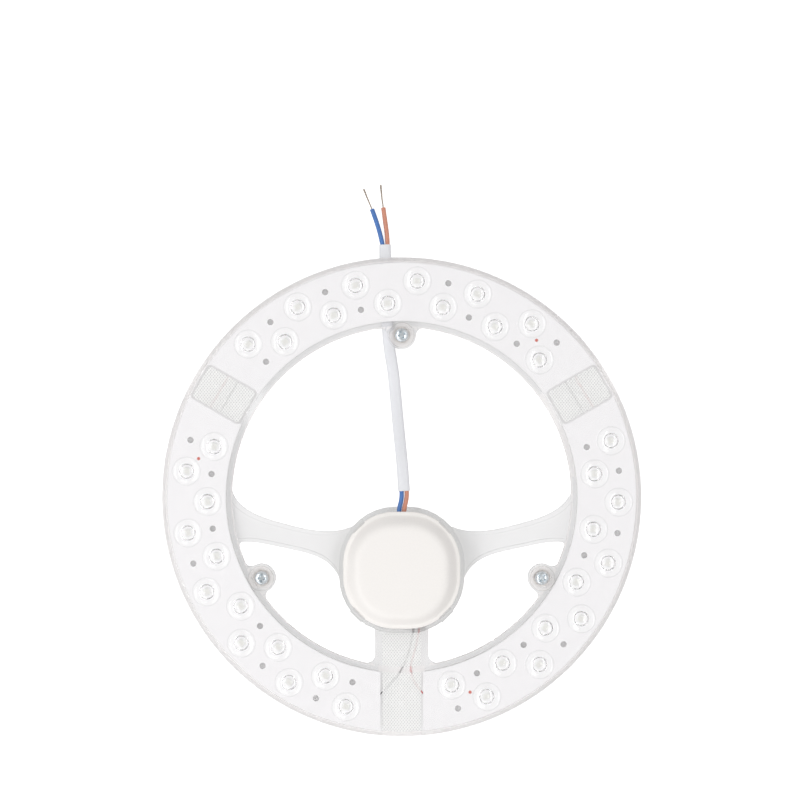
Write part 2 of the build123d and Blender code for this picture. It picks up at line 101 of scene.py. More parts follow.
def copied_node(name, node):
    """A merged copy of a CAD solid's mesh, to be reworked."""
    piece = bpy.data.objects.new(name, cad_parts[node].data.copy())
    bpy.context.scene.collection.objects.link(piece)
    piece.data.materials.clear()
    hold(piece)
    bpy.ops.mesh.customdata_custom_splitnormals_clear()
    bpy.ops.object.mode_set(mode="EDIT")
    bpy.ops.mesh.select_all(action="SELECT")
    bpy.ops.mesh.remove_doubles(threshold=1e-6)
    bpy.ops.object.mode_set(mode="OBJECT")
    return piece


def turned(name, rings, sides):
    """A turned body about Z: a disc drawn up ring by ring, from (radius, height) pairs."""
    bpy.ops.object.select_all(action="DESELECT")
    radius, height = rings[0]
    bpy.ops.mesh.primitive_circle_add(
        vertices=sides, radius=radius, fill_type="NGON", location=(0, 0, height)
    )
    piece = bpy.context.object
    piece.name = name
    bpy.ops.object.transform_apply(location=True)
    bpy.ops.object.mode_set(mode="EDIT")
    bpy.ops.mesh.select_all(action="SELECT")
    for next_radius, next_height in rings[1:]:
        bpy.ops.mesh.extrude_region_move(
            TRANSFORM_OT_translate={"value": (0, 0, next_height - height)}
        )
        share = next_radius / radius
        bpy.ops.transform.resize(value=(share, share, 1), center_override=(0, 0, next_height))
        radius, height = next_radius, next_height
    bpy.ops.mesh.select_all(action="SELECT")
    bpy.ops.mesh.normals_make_consistent(inside=False)
    bpy.ops.object.mode_set(mode="OBJECT")
    return piece


def block(name, size, spot):
    """A rectangular tool of a given size about a spot."""
    bpy.ops.object.select_all(action="DESELECT")
    bpy.ops.mesh.primitive_cube_add(size=1, location=spot)
    piece = bpy.context.object
    piece.name = name
    bpy.ops.transform.resize(value=size)
    bpy.ops.object.transform_apply(location=True, scale=True)
    return piece


def set_out(pattern, name, places):
    """Copies one pattern to every place, each with its own mesh, joined as one piece."""
    copies = []
    for place in places:
        one = bpy.data.objects.new(name, pattern.data.copy())
        one.data.transform(place)
        bpy.context.scene.collection.objects.link(one)
        copies.append(one)
    bpy.data.objects.remove(pattern)
    hold(copies[0])
    for one in copies:
        one.select_set(True)
    bpy.ops.object.join()
    return copies[0]


def combine(piece, tool, how):
    """Adds a tool's shape to a piece or cuts it out, and takes the tool away."""
    hold(piece)
    change = piece.modifiers.new("combine", "BOOLEAN")
    change.operation = how
    change.object = tool
    change.solver = "MANIFOLD"
    bpy.ops.object.modifier_apply(modifier=change.name)
    bpy.data.objects.remove(tool)
    piece.data.materials.clear()


def finish_mesh(piece, name, angle=35):
    """Names a piece and smooths its shading over gentle edges."""
    hold(piece)
    piece.name = piece.data.name = name
    bpy.ops.object.shade_smooth_by_angle(angle=radians(angle))
    return piece


ring_sides = 240
web_r = 78.4 * mm
opening_r = 77.8 * mm
rim_rings = [(109.6, 5.0), (109.95, 5.15), (110.0, 5.4), (108.1, 9.4), (107.85, 9.7), (107.45, 9.8)]
cover = copied_node("clear_cover", "lens_cover")
web_cut = turned("web_cut", [(web_r, -1 * mm), (web_r, 30 * mm)], ring_sides)
combine(cover, web_cut, "INTERSECT")
ring = turned("ring_tray", [(r * mm, h * mm) for r, h in rim_rings], ring_sides)
opening = turned("opening", [(opening_r, 4 * mm), (opening_r, 12 * mm)], ring_sides)
combine(ring, opening, "DIFFERENCE")
tray = turned("tray", [(tray_out_r, 4 * mm), (tray_out_r, plate_z)], ring_sides)
tray_core = turned("tray_core", [(tray_in_r, 3 * mm), (tray_in_r, 9 * mm)], ring_sides)
combine(tray, tray_core, "DIFFERENCE")
combine(ring, tray, "DIFFERENCE")
combine(cover, ring, "UNION")

channel_size = (21.2 * mm, 5 * mm, 4 * mm)
channel_spot = (0, -78.6 * mm, 5.9 * mm)
combine(cover, block("lead_channel", channel_size, channel_spot), "DIFFERENCE")
rib_size = (28.6 * mm, 1.2 * mm, 1.3 * mm)
rib_z = 7.75 * mm
rib_offset = 9.8 * mm
spoke_turn = on_ring(window_r, spoke_heading)
rib_places = [spoke_turn @ Matrix.Translation((0, side * rib_offset, 0)) for side in (-1, 1)]
rib = block("window_rib", rib_size, (0, 0, rib_z))
combine(cover, set_out(rib, "window_ribs", rib_places), "UNION")

boss_sides = 48
boss_bore_r = 4.55 * mm
boss_rings = [(5.7, -0.6), (5.7, 0.12), (5.55, 0.25)]
boss = turned("lug_boss", [(r * mm, face_z + h * mm) for r, h in boss_rings], boss_sides)
bore_rings = [(boss_bore_r, face_z - 1 * mm), (boss_bore_r, face_z + 1 * mm)]
combine(boss, turned("lug_bore", bore_rings, boss_sides), "DIFFERENCE")
lug_turns = [on_ring(lug_r, heading) for heading in board_headings.values()]
combine(cover, set_out(boss, "lug_bosses", lug_turns), "UNION")

lens_sides = 48
lens_turns = [on_ring(*spot) for heading in board_headings.values() for spot in lens_spots(heading)]
dome_r = 6.1
dome_foot_h = 0.55
dome_h = 2.75
foot_rings = [(6.9, -0.5), (6.9, -0.06), (6.6, 0.06), (6.35, 0.22), (6.2, 0.4)]
dome_turns = [radians(degrees) for degrees in range(0, 85, 7)]
dome_rings = [(dome_r * cos(turn), dome_foot_h + dome_h * sin(turn)) for turn in dome_turns]
dome = turned("lens_dome", [(r * mm, face_z + h * mm) for r, h in foot_rings + dome_rings], lens_sides)
combine(cover, set_out(dome, "lens_domes", lens_turns), "UNION")

cavity_r = 3.05
cavity_wall_h = 0.4
cavity_dome_h = 1.5
cavity_turns = [radians(degrees) for degrees in range(80, 2, -8)]
cavity_rings = [(6.1, -0.4), (6.1, 0.06), (cavity_r, 0.07), (cavity_r, cavity_wall_h)]
cavity_rings += [(cavity_r * sin(turn), cavity_wall_h + cavity_dome_h * cos(turn)) for turn in cavity_turns]
cavity = turned("led_cavity", [(r * mm, plate_z + h * mm) for r, h in cavity_rings], lens_sides)
combine(cover, set_out(cavity, "led_cavities", lens_turns), "DIFFERENCE")

rivet_sides = 24
rivet_turns = [on_ring(*spot) for heading in board_headings.values() for spot in post_spots(heading)]
rivet_rings = [(1.1, -0.8), (1.7, -0.6), (1.95, -0.3), (1.95, -0.02), (1.22, -0.02), (1.22, 2.3)]
rivet = turned("rivet", [(r * mm, board_z + h * mm) for r, h in rivet_rings], rivet_sides)
combine(cover, set_out(rivet, "rivets", rivet_turns), "UNION")

prism_cell = 1.05 * mm
prism_depth = 0.2 * mm
prism_slab_t = 0.6 * mm
prism_proud = 0.04 * mm
prism_stretch = (0.9, 1.1)
prism_pitch = [prism_cell * 2 ** 0.5 * share for share in prism_stretch]


def prism_sheet(rows, spot):
    """A slab with small pyramids in staggered rows on its underside, about a spot on the plate."""
    bpy.ops.object.select_all(action="DESELECT")
    bpy.ops.mesh.primitive_grid_add(x_subdivisions=rows, y_subdivisions=rows, size=1)
    sheet = bpy.context.object
    sheet.data.transform(Matrix.Diagonal((prism_cell * rows, prism_cell * rows, 1, 1)))
    sheet.data.transform(Matrix.Rotation(radians(45), 4, "Z"))
    sheet.data.transform(Matrix.Diagonal((*prism_stretch, 1, 1)))
    snapped = [round(at / pitch) * pitch for at, pitch in zip(spot.xy, prism_pitch)]
    sheet.data.transform(Matrix.Translation((*snapped, plate_z - prism_proud)))
    bpy.ops.object.mode_set(mode="EDIT")
    bpy.ops.mesh.select_all(action="SELECT")
    bpy.ops.mesh.extrude_region_move(TRANSFORM_OT_translate={"value": (0, 0, prism_slab_t)})
    bpy.ops.mesh.select_all(action="SELECT")
    bpy.ops.mesh.normals_make_consistent(inside=False)
    pick_faces(sheet, lambda face: face.normal.z < -0.5)
    bpy.ops.mesh.poke(offset=prism_depth)
    bpy.ops.object.mode_set(mode="OBJECT")
    return sheet


def rounded_block(name, length, width, corner, low, high):
    """A flat tool with rounded corners between two levels."""
    bpy.ops.object.select_all(action="DESELECT")
    bpy.ops.mesh.primitive_plane_add(size=1, location=(0, 0, low))
    piece = bpy.context.object
    piece.name = name
    bpy.ops.transform.resize(value=(length, width, 1))
    bpy.ops.object.transform_apply(location=True, scale=True)
    bpy.ops.object.mode_set(mode="EDIT")
    bpy.ops.mesh.select_all(action="SELECT")
    bpy.ops.mesh.bevel(offset=corner, offset_type="OFFSET", segments=8, affect="VERTICES")
    bpy.ops.mesh.select_all(action="SELECT")
    bpy.ops.mesh.extrude_region_move(TRANSFORM_OT_translate={"value": (0, 0, high - low)})
    bpy.ops.mesh.select_all(action="SELECT")
    bpy.ops.mesh.normals_make_consistent(inside=False)
    bpy.ops.object.mode_set(mode="OBJECT")
    return piece


window_l = 24.4 * mm
window_w = 16.2 * mm
window_corner = 1.5 * mm
window_lap = 0.2 * mm
window_rows = 30
frame_t = 0.9 * mm
frame_corner = 2.2 * mm
frame_low = 7.15 * mm
frame_high = 8.6 * mm
for heading in window_headings.values():
    middle = on_ring(window_r, heading)
    rim = rounded_block(
        "window_frame", window_l + 2 * frame_t, window_w + 2 * frame_t, frame_corner, frame_low, frame_high
    )
    rim_cut = rounded_block(
        "window_frame_cut", window_l, window_w, window_corner, frame_low - 1 * mm, plate_z + 0.3 * mm
    )
    combine(rim, rim_cut, "DIFFERENCE")
    rim.data.transform(middle)
    combine(cover, rim, "UNION")
    window = prism_sheet(window_rows, middle.translation)
    window_cut = rounded_block(
        "window_cut", window_l + window_lap, window_w + window_lap, window_corner, 5 * mm, 10 * mm
    )
    window_cut.data.transform(middle)
    combine(window, window_cut, "INTERSECT")
    combine(cover, window, "UNION")
spoke_middle = Vector((0, -84.8 * mm, 0))
spoke_field = (17.6 * mm, 45.6 * mm, 4 * mm)
spoke_rows = 60
spoke_prisms = prism_sheet(spoke_rows, spoke_middle)
combine(spoke_prisms, block("spoke_cut", spoke_field, (*spoke_middle.xy, plate_z)), "INTERSECT")
combine(cover, spoke_prisms, "UNION")
finish_mesh(cover, "clear_cover")
for face in cover.data.polygons:
    face.use_smooth = abs(face.normal.z) < 0.9999
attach(cover, "root")
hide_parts("lens_cover")


def acrylic(name, tint, gloss_low, gloss_high, clarity=0.96):
    """Clear moulded plastic that bends what is seen through it and lets the lamps reach the boards."""
    finish = bpy.data.materials.new(name)
    finish.use_nodes = True
    nodes, links = finish.node_tree.nodes, finish.node_tree.links
    glass = nodes["Principled BSDF"]
    glass.inputs["Base Color"].default_value = (*tint, 1)
    glass.inputs["Transmission Weight"].default_value = clarity
    glass.inputs["IOR"].default_value = 1.49
    place = nodes.new("ShaderNodeTexCoord")
    haze = nodes.new("ShaderNodeTexNoise")
    haze.inputs["Scale"].default_value = 90
    haze.inputs["Detail"].default_value = 4
    links.new(place.outputs["Object"], haze.inputs["Vector"])
    polish = nodes.new("ShaderNodeMapRange")
    polish.inputs["To Min"].default_value = gloss_low
    polish.inputs["To Max"].default_value = gloss_high
    links.new(haze.outputs["Fac"], polish.inputs["Value"])
    links.new(polish.outputs["Result"], glass.inputs["Roughness"])
    rays = nodes.new("ShaderNodeLightPath")
    clear = nodes.new("ShaderNodeBsdfTransparent")
    soft_pass = nodes.new("ShaderNodeMixShader")
    links.new(rays.outputs["Is Diffuse Ray"], soft_pass.inputs["Fac"])
    links.new(glass.outputs["BSDF"], soft_pass.inputs[1])
    links.new(clear.outputs["BSDF"], soft_pass.inputs[2])
    lamp_pass = nodes.new("ShaderNodeMixShader")
    links.new(rays.outputs["Is Shadow Ray"], lamp_pass.inputs["Fac"])
    links.new(soft_pass.outputs["Shader"], lamp_pass.inputs[1])
    links.new(clear.outputs["BSDF"], lamp_pass.inputs[2])
    links.new(lamp_pass.outputs["Shader"], nodes["Material Output"].inputs["Surface"])
    return finish


def math_node(nodes, how):
    """A node that does one kind of sum."""
    node = nodes.new("ShaderNodeMath")
    node.operation = how
    return node


def paint_valley_shade(finish, valley_shade):
    """Paints shade into the valley of each prism as a darker dot, in the prisms' own staggered rows."""
    nodes, links = finish.node_tree.nodes, finish.node_tree.links
    base = nodes["Principled BSDF"].inputs["Base Color"]
    place = nodes.new("ShaderNodeTexCoord")
    parts = nodes.new("ShaderNodeSeparateXYZ")
    links.new(place.outputs["Object"], parts.inputs["Vector"])
    both = math_node(nodes, "MULTIPLY")
    for axis, pitch in enumerate(prism_pitch):
        turn = math_node(nodes, "MULTIPLY")
        turn.inputs[1].default_value = 2 * pi / pitch
        links.new(parts.outputs[axis], turn.inputs[0])
        wave = math_node(nodes, "COSINE")
        links.new(turn.outputs["Value"], wave.inputs[0])
        links.new(wave.outputs["Value"], both.inputs[axis])
    tone = nodes.new("ShaderNodeValToRGB")
    tone.color_ramp.elements[0].position = 0.0
    tone.color_ramp.elements[1].position = 0.75
    tone.color_ramp.elements[0].color = base.default_value
    tone.color_ramp.elements[1].color = (valley_shade, valley_shade, valley_shade, 1)
    links.new(both.outputs["Value"], tone.inputs["Fac"])
    links.new(tone.outputs["Color"], base)
    return finish


cover_finishes = [
    acrylic("acrylic_satin", (0.995, 0.99, 0.993), 0.02, 0.05),
    acrylic("acrylic_polished", (1, 1, 1), 0.0, 0.02),
    # Grey tint on the dome feet and the hub rim tops: painted shade, a darker ring round each lens.
    acrylic("acrylic_foot_painted_shade", (0.86, 0.86, 0.86), 0.08, 0.14),
    # The prism windows: frosted acrylic with painted shade, a darker dot in each prism valley.
    paint_valley_shade(acrylic("acrylic_prism_valley_shade", (1, 1, 0.985), 0.42, 0.52, clarity=0.22), 0.64),
    # The riveted post heads, partly frosted, with a grey tint of painted shade for the dark post dots.
    acrylic("acrylic_melted_painted_shade", (0.8, 0.79, 0.79), 0.2, 0.3, clarity=0.7),
    acrylic("acrylic_edge", (0.99, 0.96, 0.952), 0.5, 0.6, clarity=0.8),
    acrylic("acrylic_cavity", (1, 1, 1), 0.16, 0.22),
    # Grey tint on the window frames, the hook sides and the lead slot: painted shade on clear acrylic.
    acrylic("acrylic_ribs_painted_shade", (0.7, 0.69, 0.69), 0.3, 0.4, clarity=0.6),
]
for finish in cover_finishes:
    cover.data.materials.append(finish)
satin, polished, shaded_foot, prism, shaded_rivet, edge, hollow, shaded_ribs = range(len(cover_finishes))

hair = 0.02 * mm
frame_slack = 0.01 * mm
edge_r = 107.4 * mm
plate_in_r = 79.5 * mm
inner_rim = (77.6 * mm, 80.4 * mm)
dome_reach = 6.1 * mm
cavity_reach = 6.2 * mm
cavity_low = plate_z + 0.03 * mm
cavity_high = face_z + 2 * mm
window_reach = 16 * mm
seat_reach = 4.7 * mm
seat_low = 7.1 * mm
hook_low = 14.9 * mm
prism_low = plate_z - 0.7 * mm
under_plate = plate_z - 0.05 * mm
rivet_reach = 2.2 * mm
lead_slot = Vector((7.7 * mm, -60.7 * mm))
lead_slot_foot = -61.6 * mm
lead_slot_top = 14 * mm
lead_slot_reach = 4.5 * mm
lens_places = [turn.translation.xy for turn in lens_turns]
rivet_places = [turn.translation.xy for turn in rivet_turns]
lug_places = [turn.translation.xy for turn in lug_turns]
window_places = [on_ring(window_r, heading).translation.xy for heading in window_headings.values()]


def nearest(spot, places):
    """The distance from a spot to the closest of some places."""
    return min((spot - place).length for place in places)


def cover_finish(face):
    """The finish of one face of the cover, by where it lies and which way it looks."""
    spot, height, slope = face.center.xy, face.center.z, face.normal.z
    if spot.length > edge_r:
        return edge
    in_slot = spot.y > lead_slot_foot and (spot - lead_slot).length < lead_slot_reach
    if in_slot and slope < -0.5 and height < lead_slot_top:
        return shaded_ribs
    if inner_rim[0] < spot.length < inner_rim[1] and height < face_z - hair:
        return edge
    if spot.length > plate_in_r and height > face_z + hair:
        return polished if nearest(spot, lens_places) < dome_reach else shaded_foot
    inside = slope < 0.5 and cavity_low < height < cavity_high
    if inside and nearest(spot, lens_places) < cavity_reach:
        return polished if slope < -0.999 else hollow
    upright = abs(slope) < 0.1 or height < frame_low + hair
    on_frame = upright and frame_low - frame_slack < height < plate_z - frame_slack
    if on_frame and nearest(spot, window_places) < window_reach:
        return shaded_ribs
    if height > seat_low and nearest(spot, lug_places) < seat_reach:
        return edge
    if height > hook_low:
        return shaded_foot if slope > 0.5 else shaded_ribs
    if prism_low < height < under_plate and 0.3 < -slope < 0.98:
        return prism
    if height < under_plate and nearest(spot, rivet_places) < rivet_reach:
        return shaded_rivet
    return satin


for face in cover.data.polygons:
    face.material_index = cover_finish(face)

# Three LED boards: 1 mm laminate arcs with a white solder mask on both faces, slid over the cover's
# posts and held by the riveted post heads. A dab of red ink marks one end of each board. The round
# holes are cut where the CAD has square ones.
board_face_z = 7.1 * mm
square_hole_reach = 1.7 * mm
round_hole_r = 1.45 * mm
round_hole_sides = 24
dab_r = 94.7 * mm
dab_turn = 40.7
dab_core = 0.6 * mm
dab_edge = 0.9 * mm


def speckled(name, colour, roughness, scale=400.0, spread=0.04, bump=0.05, metal=0.0):
    """A finish with fine colour and gloss variation and a slight surface texture."""
    finish = bpy.data.materials.new(name)
    finish.use_nodes = True
    nodes, links = finish.node_tree.nodes, finish.node_tree.links
    shader = nodes["Principled BSDF"]
    shader.inputs["Metallic"].default_value = metal
    place = nodes.new("ShaderNodeTexCoord")
    grain = nodes.new("ShaderNodeTexNoise")
    grain.inputs["Scale"].default_value = scale
    grain.inputs["Detail"].default_value = 5
    links.new(place.outputs["Object"], grain.inputs["Vector"])
    tone = nodes.new("ShaderNodeValToRGB")
    tone.color_ramp.elements[0].position = 0.3
    tone.color_ramp.elements[1].position = 0.7
    tone.color_ramp.elements[0].color = (*[c * (1 - spread) for c in colour], 1)
    tone.color_ramp.elements[1].color = (*[min(1, c * (1 + spread)) for c in colour], 1)
    links.new(grain.outputs["Fac"], tone.inputs["Fac"])
    links.new(tone.outputs["Color"], shader.inputs["Base Color"])
    gloss = nodes.new("ShaderNodeMapRange")
    gloss.inputs["To Min"].default_value = roughness * 0.85
    gloss.inputs["To Max"].default_value = min(1, roughness * 1.15)
    links.new(grain.outputs["Fac"], gloss.inputs["Value"])
    links.new(gloss.outputs["Result"], shader.inputs["Roughness"])
    relief = nodes.new("ShaderNodeBump")
    relief.inputs["Strength"].default_value = bump
    relief.inputs["Distance"].default_value = 0.0002
    links.new(grain.outputs["Fac"], relief.inputs["Height"])
    links.new(relief.outputs["Normal"], shader.inputs["Normal"])
    return finish


def inked(finish, spots, colour):
    """Adds a small round dab of ink to a finish at each spot."""
    nodes, links = finish.node_tree.nodes, finish.node_tree.links
    base = nodes["Principled BSDF"].inputs["Base Color"]
    plain = base.links[0].from_socket
    place = nodes.new("ShaderNodeTexCoord")
    closest = None
    for spot in spots:
        reach = nodes.new("ShaderNodeVectorMath")
        reach.operation = "DISTANCE"
        reach.inputs[1].default_value = spot
        links.new(place.outputs["Object"], reach.inputs[0])
        if closest:
            nearer = math_node(nodes, "MINIMUM")
            links.new(closest, nearer.inputs[0])
            links.new(reach.outputs["Value"], nearer.inputs[1])
            closest = nearer.outputs["Value"]
        else:
            closest = reach.outputs["Value"]
    dab = nodes.new("ShaderNodeMapRange")
    dab.inputs["From Min"].default_value = dab_edge
    dab.inputs["From Max"].default_value = dab_core
    links.new(closest, dab.inputs["Value"])
    marked = nodes.new("ShaderNodeMixRGB")
    marked.inputs["Color2"].default_value = (*colour, 1)
    links.new(dab.outputs["Result"], marked.inputs["Fac"])
    links.new(plain, marked.inputs["Color1"])
    links.new(marked.outputs["Color"], base)
    return finish


def close_gaps(piece):
    """Fills each open loop of a shell with one flat face."""
    hold(piece)
    bpy.context.tool_settings.mesh_select_mode = (False, True, False)
    bpy.ops.object.mode_set(mode="EDIT")
    bpy.ops.mesh.select_all(action="DESELECT")
    bpy.ops.mesh.select_non_manifold(extend=False)
    bpy.ops.mesh.fill_holes(sides=0)
    bpy.ops.mesh.select_all(action="SELECT")
    bpy.ops.mesh.normals_make_consistent(inside=False)
    bpy.ops.object.mode_set(mode="OBJECT")


dab_spots = [
    on_ring(dab_r, heading - dab_turn, board_face_z).translation for heading in board_headings.values()
]
mask_white = speckled("mask_white", (0.98, 0.97, 0.98), 0.42, scale=250, spread=0.012)
inked(mask_white, dab_spots, (0.62, 0.09, 0.05))
for side, heading in board_headings.items():
    hole_turns = [on_ring(*spot) for spot in post_spots(heading)]
    hole_places = [turn.translation.xy for turn in hole_turns]
    board = copied_node("white_board_" + side, "led_board_" + side)
    pick_faces(
        board,
        lambda face: abs(face.normal.z) < 0.5
        and nearest(face.center.xy, hole_places) < square_hole_reach,
    )
    bpy.ops.mesh.delete(type="FACE")
    close_gaps(board)
    drill_rings = [(round_hole_r, board_z - 0.5 * mm), (round_hole_r, board_face_z + 0.3 * mm)]
    drill = turned("drill", drill_rings, round_hole_sides)
    combine(board, set_out(drill, "drills", hole_turns), "DIFFERENCE")
    finish_mesh(board, "white_board_" + side)
    board.data.materials.append(mask_white)
    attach(board, "root")
    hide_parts("led_board_" + side)

# LEDs: small moulded packages soldered to the boards by a tin pad at each end, with a well of
# phosphor resin in the top. One is modelled, then set out twelve to a board, one under each lens.
led_size = (2.8 * mm, 3.2 * mm, 0.7 * mm)
led_wall = 0.38 * mm
led_well_d = 0.15 * mm
led_well_below = 0.6 * mm
led_well_taper = (0.9, 0.92, 1)
pad_size = (2.0 * mm, 0.34 * mm, 0.22 * mm)
pad_offset = 1.58 * mm
led_finishes = [
    speckled("led_resin", (0.86, 0.86, 0.84), 0.45, scale=900, spread=0.02),
    speckled("led_phosphor", (0.84, 0.83, 0.8), 0.5, scale=2500, spread=0.06),
    speckled("led_tin", (0.62, 0.62, 0.62), 0.3, scale=800, metal=1.0),
]
resin, phosphor, tin = range(len(led_finishes))
led = block("led", led_size, (0, 0, board_face_z + led_size[2] / 2))
for finish in led_finishes:
    led.data.materials.append(finish)
pick_faces(led, lambda face: face.normal.z > 0.5)
bpy.ops.mesh.inset(thickness=led_wall)
bpy.ops.mesh.extrude_region_move(TRANSFORM_OT_translate={"value": (0, 0, -led_well_d)})
bpy.ops.transform.resize(value=led_well_taper, center_override=(0, 0, board_face_z))
bpy.ops.object.mode_set(mode="OBJECT")
for face in led.data.polygons:
    in_well = face.normal.z > 0.5 and face.center.z < board_face_z + led_well_below
    face.material_index = phosphor if in_well else resin
for end in (-1, 1):
    pad = block("pad", pad_size, (0, end * pad_offset, board_face_z + pad_size[2] / 2))
    for finish in led_finishes:
        pad.data.materials.append(finish)
    for face in pad.data.polygons:
        face.material_index = tin
    hold(led)
    pad.select_set(True)
    bpy.ops.object.join()
for side, heading in board_headings.items():
    pattern = bpy.data.objects.new("led_pattern", led.data.copy())
    leds = set_out(pattern, "led_row_" + side, [on_ring(*spot) for spot in lens_spots(heading)])
    finish_mesh(leds, "led_row_" + side)
    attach(leds, "root")
    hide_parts("leds_" + side)
bpy.data.objects.remove(led)

# The driver sits in the hub bowl under the cap: a small laminate board with its transformer,
# capacitors, choke and chips. These stay the CAD's own solids and get their finishes here.
driver_finishes = {
    "driver_board": speckled("driver_laminate", (0.36, 0.42, 0.2), 0.5, scale=500, spread=0.1),
    "transformer_core": speckled("ferrite_grey", (0.06, 0.06, 0.065), 0.6, scale=900, spread=0.15),
    "transformer_winding": speckled("winding_tape", (0.75, 0.55, 0.05), 0.35, scale=200, spread=0.05),
    "input_capacitor": speckled("can_sleeve", (0.03, 0.035, 0.05), 0.3, scale=150, spread=0.1),
    "output_capacitor": speckled("can_sleeve_green", (0.03, 0.05, 0.04), 0.3, scale=150, spread=0.1),
    "choke": speckled("choke_sleeve", (0.02, 0.02, 0.022), 0.4, scale=300, spread=0.1),
    "bridge_rectifier": speckled("chip_black", (0.025, 0.025, 0.027), 0.55, scale=900, spread=0.2),
    "driver_chip": speckled("chip_black_small", (0.028, 0.028, 0.03), 0.55, scale=900, spread=0.2),
    "fuse_resistor": speckled("resistor_green", (0.1, 0.25, 0.12), 0.45, scale=600, spread=0.08),
    "suppression_capacitor": speckled("film_box_yellow", (0.7, 0.42, 0.04), 0.4, scale=300, spread=0.04),
}
for node, finish in driver_finishes.items():
    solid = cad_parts[node]
    solid.data.materials.clear()
    solid.data.materials.append(finish)

# The driver cap is a cream moulded lid with rounded square plan, a flat flange held under the bowl's
# snap hooks, sloping sides and a softly rounded, faintly grained top. It is hollow underneath.
hub_y = -33.0 * mm
ledge_z = 13.4 * mm
cap_w = 53.2 * mm
cap_corner_r = 23.5 * mm
cap_flange_t = 1.2 * mm
cap_lip_w = 4.6 * mm
cap_hollow_h = 6.3 * mm
cap_hollow_taper = (0.93, 0.93, 1)
cap_steps = [
    (0.12, 0.28), (0.28, 0.12), (0.9, 0.0), (0.35, 0.12), (0.4, 0.45), (0.8, 1.35), (0.95, 1.5),
    (0.9, 1.25), (0.8, 0.8), (0.8, 0.48), (0.9, 0.27), (1.0, 0.13), (1.1, 0.05),
]
cap_cream = speckled("cap_cream", (0.955, 0.925, 0.896), 0.5, scale=1400, spread=0.015, bump=0.12)
bpy.ops.object.select_all(action="DESELECT")
bpy.ops.mesh.primitive_plane_add(size=cap_w, location=(0, hub_y, ledge_z))
cap = bpy.context.object
bpy.ops.object.transform_apply(location=True)
bpy.ops.object.mode_set(mode="EDIT")
bpy.ops.mesh.select_all(action="SELECT")
bpy.ops.mesh.bevel(
    offset=cap_corner_r, offset_type="OFFSET", segments=28, affect="VERTICES", clamp_overlap=False
)
bpy.ops.mesh.select_all(action="SELECT")
bpy.ops.mesh.extrude_region_move(TRANSFORM_OT_translate={"value": (0, 0, cap_flange_t)})
for inset, rise in cap_steps:
    bpy.ops.mesh.inset(thickness=inset * mm, depth=0)
    bpy.ops.transform.translate(value=(0, 0, rise * mm))
bpy.ops.mesh.select_all(action="SELECT")
bpy.ops.mesh.normals_make_consistent(inside=False)
pick_faces(cap, lambda face: face.normal.z < -0.9)
bpy.ops.mesh.inset(thickness=cap_lip_w)
bpy.ops.mesh.extrude_region_move(TRANSFORM_OT_translate={"value": (0, 0, cap_hollow_h)})
bpy.ops.transform.resize(value=cap_hollow_taper, center_override=(0, hub_y, 0))
finish_mesh(cap, "driver_cap", 40)
cap.data.materials.append(cap_cream)
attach(cap, "root")
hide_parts("driver_cover")

# Three pan head screws with a cross recess, zinc plated steel, which hold the magnet feet to the
# lugs. The thread under the head is cut in rings; the recess is pressed by a tapered cross.
thread_core_r = 1.25
thread_r = 1.5
thread_low = 1.6
thread_pitch = 0.68
thread_rings = [(thread_core_r, 0.0), (thread_r, 0.25), (thread_r, 0.35), (thread_core_r, 0.6)]
head_rings = [
    (1.3, 7.2), (3.05, 7.2), (3.1, 7.4), (3.1, 8.0), (3.0, 8.5), (2.7, 8.95), (2.2, 9.22), (1.5, 9.36),
    (0.7, 9.4),
]
blade_size = (4.6 * mm, 1.25 * mm, 1.8 * mm)
blade_z = 8.9 * mm
blade_taper = (0.45, 0.7, 1)
screw_turn = 25
screw_sides = 32
screw_rings = [(thread_core_r, 1.4)]
for turn in range(8):
    screw_rings += [(r, thread_low + thread_pitch * turn + h) for r, h in thread_rings]
screw = turned("screw", [(r * mm, h * mm) for r, h in screw_rings + head_rings], screw_sides)
for turn in (0, 90):
    blade = block("recess_blade", blade_size, (0, 0, blade_z))
    pick_faces(blade, lambda face: face.normal.z < -0.5)
    bpy.ops.transform.resize(value=blade_taper, center_override=(0, 0, 0))
    bpy.ops.object.mode_set(mode="OBJECT")
    blade.data.transform(Matrix.Rotation(radians(turn), 4, "Z"))
    combine(screw, blade, "DIFFERENCE")
screw_turns = [
    on_ring(lug_r, heading) @ Matrix.Rotation(radians(heading + screw_turn), 4, "Z")
    for heading in board_headings.values()
]
zinc_steel = speckled("zinc_steel", (0.78, 0.83, 0.86), 0.3, scale=1200, spread=0.08, metal=1.0)
screws = set_out(screw, "screws", screw_turns)
finish_mesh(screws, "lug_screws")
screws.data.materials.append(zinc_steel)
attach(screws, "root")
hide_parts("mounting_screws")

# Magnet feet: nickel plated cups with a ring magnet, flat on the back of each lug, which hold the
# module to the steel base of a lamp.
cup_rings = [
    (1.0, 0.0), (2.5, 0.0), (2.55, 0.25), (3.2, 0.25), (3.25, 0.0), (3.8, 0.0), (4.0, 0.2), (4.0, 4.7),
    (3.8, 4.98), (1.6, 4.98),
]
cup_sides = 40
bright_nickel = speckled("bright_nickel", (0.68, 0.66, 0.62), 0.22, scale=700, spread=0.05, metal=1.0)
cup = turned("magnet_cup", [(r * mm, h * mm) for r, h in cup_rings], cup_sides)
cups = set_out(cup, "magnet_feet", lug_turns)
finish_mesh(cups, "magnet_feet")
cups.data.materials.append(bright_nickel)
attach(cups, "root")
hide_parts("mounting_magnets")

